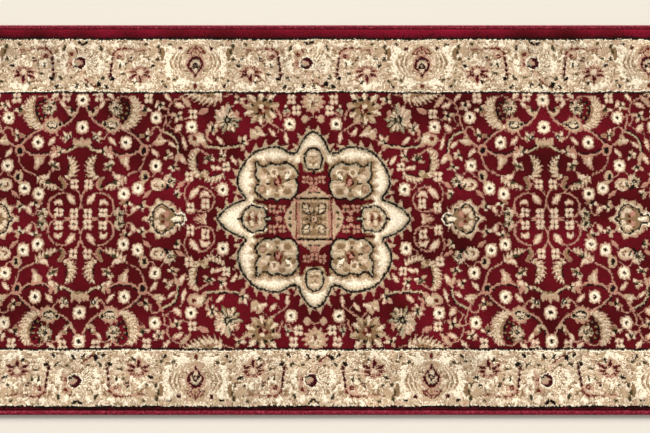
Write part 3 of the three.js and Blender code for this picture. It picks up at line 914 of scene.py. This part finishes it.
def shading(x, y, yarn):
    """Painted light and shade on each tuft: the pile lies one way and another in broad patches, the sum of
    eight sine waves, and is painted lighter and darker there, most on the plain claret, with a crimson cast
    where it is lit; and painted shade darkens the plain bands towards the border's line."""
    waves = np.random.default_rng(11)
    nap_light = np.zeros_like(x)
    for _ in range(8):
        reach, turn, start = waves.uniform((0.012, 0, 0), (0.05, np.pi, 6))
        nap_light += np.sin((x * np.cos(turn) + y * np.sin(turn)) / reach + start) / 8
    # Painted light and shade where the pile lies one way and another: strongest on the plain claret, which
    # turns crimson where lit.
    plain = np.isin(yarn, (CLARET, CRIMSON))
    light = 1 + np.where(plain, 0.75, 0.2) * nap_light
    # Painted shade: the plain bands darken towards the border's line.
    out = beyond(y / MM, far_border_y[1], near_border_y[0])
    light = light * np.where(out > 0, 0.62 + 0.5 * np.clip(out / 14, 0, 1), 1)
    return light[..., None] * (1 + plain[..., None] * nap_light[..., None] * (0.2, 0.1, 0.7))


def tufts(x, y):
    """The yarn and the colour of the tuft on each knot. Its yarn is the one where its tip and its clump lean
    to, and a little of its colour comes from nearby. Its colour takes the painted light and shade of
    shading(), and dark tufts beside pale ones get painted shade, darker by chance."""
    rows, columns = x.shape
    clump = draws.normal(0, CLUMP_LEAN, (2, rows // 2 + 1, columns // 2 + 1))
    clump = clump.repeat(2, axis=1).repeat(2, axis=2)[:, :rows, :columns]
    lean_x, lean_y = clump + draws.normal(0, TUFT_LEAN, (2, rows, columns))
    yarn = yarn_at(x / MM + lean_x, y / MM + lean_y)
    stray_x, stray_y = draws.normal(0, 2 * TUFT_LEAN, (2, rows, columns))
    stray = yarn_at(x / MM + stray_x, y / MM + stray_y)
    colour = (1 - STRAY) * DYED[yarn] + STRAY * DYED[stray]
    colour = colour * shading(x, y, yarn)
    dark = np.isin(yarn, (CLARET, CRIMSON, INK, PLUM))
    pale = np.pad(~dark, 1)
    # Painted shade: dark tufts beside pale ones are darkened, by a random share.
    beside = dark & (pale[2:, 1:-1] | pale[:-2, 1:-1] | pale[1:-1, 2:] | pale[1:-1, :-2])
    colour = colour * np.where(beside, draws.uniform(SHADE_BESIDE_PALE, 1, yarn.shape), 1)[..., None]
    return yarn, colour * np.clip(draws.normal(1, TUFT_SPREAD, yarn.shape), 0.4, 1.5)[..., None]


def pile_heights(x, y, yarn, shorn):
    """The height of each corner between knots: the pile's height and its long waves, less a share where yarns
    meet, and a random share of its own. A shorn band dips by an exponential of the distance to the edge."""
    seam = np.zeros(x.shape)
    seam[:, 1:-1] += np.pad(yarn[:, 1:] != yarn[:, :-1], ((0, 1), (0, 0)))
    seam[1:-1, :] += np.pad(yarn[1:] != yarn[:-1], ((0, 0), (0, 1)))
    wave = undulation(x, y)
    z = PILE_TOP - KNOT_FROM_SEAM * np.minimum(seam, 1) + wave
    z = z + UNEVEN * draws.uniform(-1, 1, z.shape)
    z[[0, -1], :] = PILE_TOP - LONG_SIDE_DROP + wave[[0, -1], :]
    z[:, [0, -1]] = PILE_TOP - SHORT_SIDE_DROP + wave[:, [0, -1]]
    if shorn:
        to_edge = np.minimum(np.abs(y - edge_low[1]), np.abs(y + edge_low[1]))
        z = z - GROOVE_DEPTH * np.exp(-to_edge / GROOVE_WIDTH)
    return z


def pile_material(name):
    """Each tuft's colour from the mesh, with its painted light and shade, a little lighter and darker from
    fibre to fibre and in soft patches, with fine fibres as bumps and a soft sheen."""
    material, tree, shader = new_material(name, 1.0, 0.03, 0.4)
    tuft = add_node(tree, "ShaderNodeAttribute", attribute_name="tuft")
    fibre = object_noise(tree, 900, 2)
    patch = object_noise(tree, 14, 2)
    fine = spread(tree, fibre, 0.82, 1.18, 0.3, 0.7)
    broad = spread(tree, patch, 0.93, 1.07, 0.3, 0.7)
    # The tuft colour holds the yarn's colour together with the painted light and shade.
    shade_and_bump(tree, shader, tuft.outputs["Vector"], product(tree, fine, broad), fibre, 0.6, 0.0006)
    return material


def strip_map(piece, column, level, height, folds, caps):
    """A flat layout of a long strip for its colours. The strip is cut into equal lengths, which are stacked:
    a face lies by its column along the strip, and by its level and height across it, both as shares. The two
    many-sided end faces lie beside them, by the shares across of their corners and on which of two lines."""
    per_fold = -(-(column.max() + 1) // folds)
    u = 0.98 * ((column % per_fold)[:, None] + np.array((0, 1, 1, 0))) / per_fold
    v = ((column // per_fold + level)[:, None] + height[:, None] * np.array((0, 0, 1, 1))) / folds
    places = [np.stack((u, v), axis=-1).reshape(-1, 2)]
    for k, (share, side) in enumerate(caps):
        places.append(np.stack((0.985 + 0.008 * k + 0.004 * side, 0.98 * share), axis=-1))
    layout = piece.data.uv_layers.new(name="OFBake")
    layout.uv.foreach_set("vector", np.vstack(places).astype(np.float32).ravel())


def pile_piece(name, node, x0, x1, material):
    """One length of a pile band, as a closed shell. The top is a grid with a face for each knot, and three
    long strips of faces close the near side, the far side and the foot."""
    low, high = corners(node)
    columns = round((x1 - x0) / (KNOT_ALONG * MM))
    rows = round((high[1] - low[1]) / (KNOT_ACROSS * MM))
    along = np.linspace(x0, x1, columns + 1)
    across = np.linspace(low[1], high[1], rows + 1)
    x, y = np.meshgrid(along, across)
    yarn, colour = tufts(*np.meshgrid((along[:-1] + along[1:]) / 2, (across[:-1] + across[1:]) / 2))
    top = np.stack((x, y, pile_heights(x, y, yarn, node.endswith("band_pile"))), axis=-1).reshape(-1, 3)
    near = np.stack((along, np.full_like(along, low[1]), np.full_like(along, low[2])), axis=1)
    far = near + (0, high[1] - low[1], 0)
    index = np.arange(len(top)).reshape(x.shape)
    near_foot = len(top) + np.arange(columns + 1)
    far_foot = near_foot + columns + 1
    faces = [grid_faces(rows + 1, columns + 1)]
    for lower, upper in ((near_foot, index[0]), (index[-1], far_foot), (far_foot, near_foot)):
        faces.append(np.stack((lower[:-1], lower[1:], upper[1:], upper[:-1]), axis=1))
    ends = [[far_foot[0], near_foot[0], *index[:, 0]], [near_foot[-1], far_foot[-1], *index[::-1, -1]]]
    polygons = np.vstack(faces).tolist() + [list(map(int, end)) for end in ends]
    piece = make_piece(name, np.vstack((top, near, far)), polygons, material)
    each = np.vstack((colour.reshape(-1, 3), colour[0], colour[-1], colour[0]))
    corner = np.full((len(piece.data.loops), 3), DYED[CLARET])
    corner[: 4 * len(each)] = np.repeat(each, 4, axis=0)
    piece.data.attributes.new("tuft", "FLOAT_VECTOR", "CORNER").data.foreach_set("vector", corner.ravel())
    level = np.concatenate((0.9 * np.arange(rows) / rows, (0.92, 0.94, 0.96))).repeat(columns)
    height = np.concatenate((np.full(rows, 0.9 / rows), (0.015, 0.015, 0.015))).repeat(columns)
    share = np.linspace(0, 1, rows + 1)
    side = np.concatenate(((0, 0), np.ones(rows + 1)))
    caps = [(np.concatenate(((1, 0), share)), side), (np.concatenate(((0, 1), share[::-1])), side)]
    folds = round(np.sqrt((x1 - x0) / (high[1] - low[1])))
    strip_map(piece, np.tile(np.arange(columns), rows + 3), level, height, folds, caps)
    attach(piece, "root")
    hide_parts(node)
    return piece


lengths = np.linspace(pile_low[0], pile_high[0], PIECES_ALONG + 1)
field_finish = pile_material("field_pile")
for k in range(PIECES_ALONG):
    part = pile_piece(f"field_pile_{k + 1}", "field_pile", lengths[k], lengths[k + 1], field_finish)
for node, slot in (("near_border_pile", "cream_pile"), ("far_border_pile", "cream_pile"),
                   ("near_band_pile", "claret_pile"), ("far_band_pile", "claret_pile")):
    part = pile_piece(node.replace("pile", "tufts"), node, pile_low[0], pile_high[0], pile_material(node))


# ---- The overcast edges
# Claret yarn wound closely round the cloth's margin and a filler cord, all along each side. The two end ones
# run over the whole width, and the side ones lie between them.
WRAP = 2.4 * MM  # from one turn of yarn to the next
RINGS_PER_WRAP = 4
GROOVE = 0.35 * MM  # how deep the yarn's turns are parted
SEAT_PLAY = 0.3 * MM  # between the cord and its seat
SEAT_POINTS = 6
FOLDS = 10  # how many lengths an edge's colour layout is stacked in
cord_low, cord_high = corners("far_side_filler_cord")
CORD_RADIUS = (cord_high[2] - cord_low[2]) / 2
CORD_OUT = (cord_high[1] + cord_low[1]) / 2 - edge_low[1]
CORD_UP = (cord_high[2] + cord_low[2]) / 2
EDGE_WIDTH = edge_high[1] - edge_low[1]
EDGE_HEIGHT = edge_high[2]


def overcast_material(name):
    """Claret yarn with paler, pinker flecks along it, and painted shade between the turns."""
    material, tree, shader = new_material(name, 0.5, 0.3, 0.3)
    turn_shade = add_node(tree, "ShaderNodeAttribute", attribute_name="turn_shade")
    fleck = object_noise(tree, 260, 3)
    colour = ramp(tree, fleck, (0.35, "5a0c1a"), (0.52, "861b30"), (0.72, "b44c5a"))
    # Painted shade: the yarn is darker between its turns.
    shade_and_bump(tree, shader, colour, spread(tree, turn_shade.outputs["Fac"], 0.45, 1.0), fleck, 0.4, 0.0003)
    return material


def edge_section(turns):
    """The section of an overcast edge at each place along it, as (out, up) points and the painted shade of
    each, as shares.
    The outside is a rounded square: its cosine and sine are raised to a power under one. Each turn of yarn is
    an arch, the size of a sine, and the arches slant a little round the section. The inside is the round seat
    of the cord, and the two meet in the slot for the margin."""
    around = np.radians(np.linspace(190.4, -139.8, 13))
    c, s = np.cos(around), np.sin(around)
    arch = np.abs(np.sin(np.pi * (turns[:, None] + 0.35 * around / np.pi)))
    shrink = 1 - (1 - arch) * GROOVE / (EDGE_HEIGHT / 2)
    out = EDGE_WIDTH / 2 * (1 + shrink * np.sign(c) * np.abs(c) ** 0.7)
    up = EDGE_HEIGHT / 2 * (1 + shrink * np.sign(s) * np.abs(s) ** 0.7)
    seat = np.radians(np.linspace(-155, 155, SEAT_POINTS))
    radius = CORD_RADIUS + SEAT_PLAY
    flat = np.zeros((len(turns), SEAT_POINTS))
    out = np.hstack((out, flat + (CORD_OUT + radius * np.cos(seat))))
    up = np.hstack((up, flat + (CORD_UP + radius * np.sin(seat))))
    return out, up, np.hstack((arch, flat))


def swept_piece(name, run, way, lengthwise, out, up, material):
    """A closed tube: a section at each place along a straight run, as (out, up) from the edge's inner side,
    with a cap on each end and every face turned outwards."""
    rings, points = out.shape
    along = np.broadcast_to(run[:, None], out.shape)
    across = way * ((edge_low[1] if lengthwise else end_low[0]) + out)
    places = np.stack((along, across, up) if lengthwise else (across, along, up), axis=-1).reshape(-1, 3)
    index = np.arange(rings * points).reshape(rings, points)
    turn = np.roll(index, -1, axis=1)
    quads = np.stack((index[:-1], index[1:], turn[1:], turn[:-1]), axis=-1).reshape(-1, 4)
    piece = make_piece(name, places, quads.tolist() + [index[0].tolist(), index[-1, ::-1].tolist()], material)
    share = np.arange(points) / points
    side = np.minimum(np.arange(points), 1)
    column = np.arange(rings - 1).repeat(points)
    level = np.tile(0.95 * np.arange(points) / points, rings - 1)
    caps = [(share, side), (share[::-1], side)]
    strip_map(piece, column, level, np.full(len(quads), 0.95 / points), FOLDS, caps)
    work = bmesh.new()
    work.from_mesh(piece.data)
    bmesh.ops.recalc_face_normals(work, faces=work.faces)
    work.to_mesh(piece.data)
    work.free()
    return piece


# Each edge: its name, which way is outwards, and whether it runs along the runner or across it.
EDGES = [("far_side", 1, True), ("near_side", -1, True), ("left_end", -1, False), ("right_end", 1, False)]
for side, way, lengthwise in EDGES:
    start, end = (corner[0 if lengthwise else 1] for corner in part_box(f"{side}_overcast"))
    run = np.linspace(start, end, round((end - start) / WRAP) * RINGS_PER_WRAP + 1)
    out, up, turn_shade = edge_section(run / WRAP)
    finish = overcast_material(f"{side}_overcast")
    edge = swept_piece(f"{side}_overcasting", run, way, lengthwise, out, up, finish)
    # The painted shade between the turns, for the material.
    edge.data.attributes.new("turn_shade", "FLOAT", "POINT").data.foreach_set("value", turn_shade.ravel())
    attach(edge, "root")
    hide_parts(f"{side}_overcast")


# ---- The filler cords
# Three cotton strands twisted together, which lie in the overcast edges and fill them out.
TWIST = 11 * MM  # the length of one whole turn of the strands
CORD_STEP = 1.6 * MM  # from one ring of the mesh to the next


def cord_material():
    """Unbleached cotton, in two pale browns along its fibres."""
    material, tree, shader = new_material("cotton_cord", 0.9, 0.2)
    colour = ramp(tree, object_noise(tree, 500, 2), (0.35, "a89a78"), (0.65, "d6cab0"))
    tree.links.new(colour, shader.inputs["Base Color"])
    return material


cotton = cord_material()
around = np.linspace(0, 2 * np.pi, 12, endpoint=False)
for side, way, lengthwise in EDGES:
    start, end = (corner[0 if lengthwise else 1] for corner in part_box(f"{side}_filler_cord"))
    run = np.arange(start, end, CORD_STEP)
    run[-1] = end
    # The radius has three lobes, the size of a cosine, which turn round along the cord.
    radius = CORD_RADIUS * (0.84 + 0.16 * np.abs(np.cos(1.5 * (around - 2 * np.pi * run[:, None] / TWIST))))
    out, up = CORD_OUT + radius * np.cos(around), CORD_UP + radius * np.sin(around)
    cord = swept_piece(f"{side}_cord", run, way, lengthwise, out, up, cotton)
    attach(cord, "root")
    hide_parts(f"{side}_filler_cord")


# ---- The floor, the light and the camera
# A plain pale floor, soft daylight from over the far side, and a camera almost straight above.
FLOOR_HALF = 12  # half the floor's size, in metres
CAMERA_TILT = np.radians(5.95)
CAMERA_PLACE = (0.0223, -0.1926, 1.838)


def stage_floor():
    """A flat square floor at the rug's underside."""
    material, _, shader = new_material("floor", 0.6)
    shader.inputs["Base Color"].default_value = (*linear("d9d2c7"), 1)
    shader.inputs["Specular IOR Level"].default_value = 0.5
    corners = [(x * FLOOR_HALF, y * FLOOR_HALF, 0) for x, y in ((-1, -1), (1, -1), (1, 1), (-1, 1))]
    make_piece("floor", corners, [(0, 1, 2, 3)], material)


def add_light(name, kind, place, strength, colour, **size):
    """A light that faces the middle of the rug."""
    light = bpy.data.lights.new(name, kind)
    light.energy = strength
    light.color = colour
    for key, value in size.items():
        setattr(light, key, value)
    lamp = bpy.data.objects.new(name, light)
    lamp.location = place
    lamp.rotation_euler = Vector(place).to_track_quat("Z", "Y").to_euler()
    bpy.context.scene.collection.objects.link(lamp)


stage_floor()
add_light("window", "SUN", (-0.8, 5.1, 3.2), 4.9, (1.0, 0.985, 0.96), angle=np.radians(31))
add_light("room", "AREA", (0.6, -1.0, 3.4), 16, (1.0, 0.99, 0.97), size=3.0)
scene = bpy.context.scene
scene.world = bpy.data.worlds.new("room_light")
scene.world.use_nodes = True
sky = scene.world.node_tree.nodes["Background"]
sky.inputs["Color"].default_value = (1, 0.99, 0.975, 1)
sky.inputs["Strength"].default_value = 0.38
scene.view_settings.view_transform = "Standard"

camera_data = bpy.data.cameras.new("camera")
camera_data.lens = 50
camera_data.sensor_width = 36
camera = bpy.data.objects.new("camera", camera_data)
camera.location = CAMERA_PLACE
camera.rotation_euler = (CAMERA_TILT, 0, 0)
scene.collection.objects.link(camera)
scene.camera = camera
